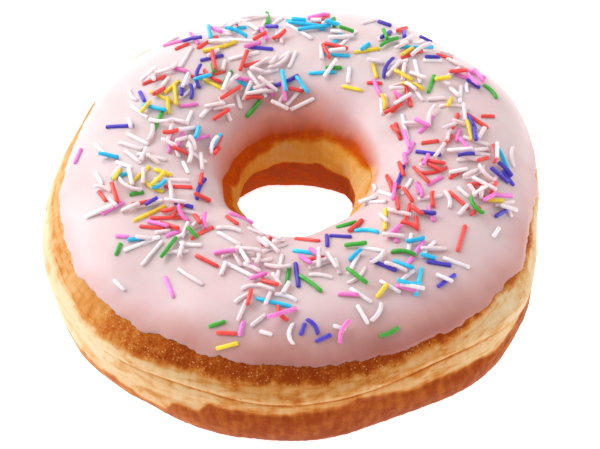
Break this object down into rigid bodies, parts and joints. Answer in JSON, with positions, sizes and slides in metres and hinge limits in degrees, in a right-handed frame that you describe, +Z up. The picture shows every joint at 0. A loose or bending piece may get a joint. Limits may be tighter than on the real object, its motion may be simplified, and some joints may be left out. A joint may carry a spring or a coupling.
{
  "type": "sprinkle frosted doughnut",
  "caption": "Raised ring doughnut with a thin pale pink icing over its top, strewn with short coloured sugar strands; it rests flat on its underside.",
  "frame": {"origin": "middle of the bounding box's lowest face, on the surface that the doughnut stands on, at the axis of its hole", "axes": "+Z up along the axis of the hole; -Y is the side that shows its fold and lower crust to the front; +X to the right of it"},
  "size_m": [0.0969, 0.0976, 0.0326],
  "materials": {
    "dough": "fried yeast dough: orange-brown granular crust with a pale cream band round the side",
    "icing": "pale pink poured sugar icing, satin, slightly translucent",
    "sugar_white": "satin sugar strand, white",
    "sugar_red": "satin sugar strand, coral red",
    "sugar_pink": "satin sugar strand, pink",
    "sugar_yellow": "satin sugar strand, yellow",
    "sugar_green": "satin sugar strand, green",
    "sugar_cyan": "satin sugar strand, sky blue",
    "sugar_indigo": "satin sugar strand, indigo"
  },
  "bodies": {
    "root": {"dough_ring": "dough", "icing": "icing"}
  },
  "joints": []
}
